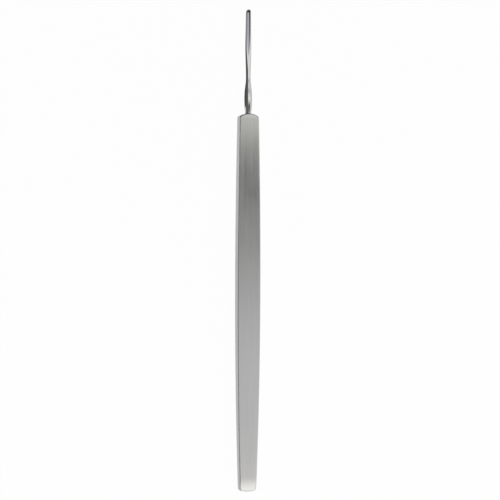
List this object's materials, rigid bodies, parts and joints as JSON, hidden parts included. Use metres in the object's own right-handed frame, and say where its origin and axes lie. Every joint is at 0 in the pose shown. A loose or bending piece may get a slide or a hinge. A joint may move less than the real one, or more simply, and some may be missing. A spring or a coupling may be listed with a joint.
{
  "type": "foreign body gouge",
  "caption": "Slender steel hand instrument: a flat, gently bellied handle and a waisted round stem that ends in a flat, ball-ended hollow gouge tip.",
  "frame": {"origin": "middle of the bounding box at its base, on the plane of the handle's flat back", "axes": "+Y along the instrument towards the tip, +Z out of the handle's front face, +X to the right seen from the front"},
  "size_m": [0.0062, 0.125, 0.003],
  "materials": {
    "steel": "satin ground handle, polished stem and tip"
  },
  "bodies": {
    "root": {"gouge": "steel"}
  },
  "joints": []
}
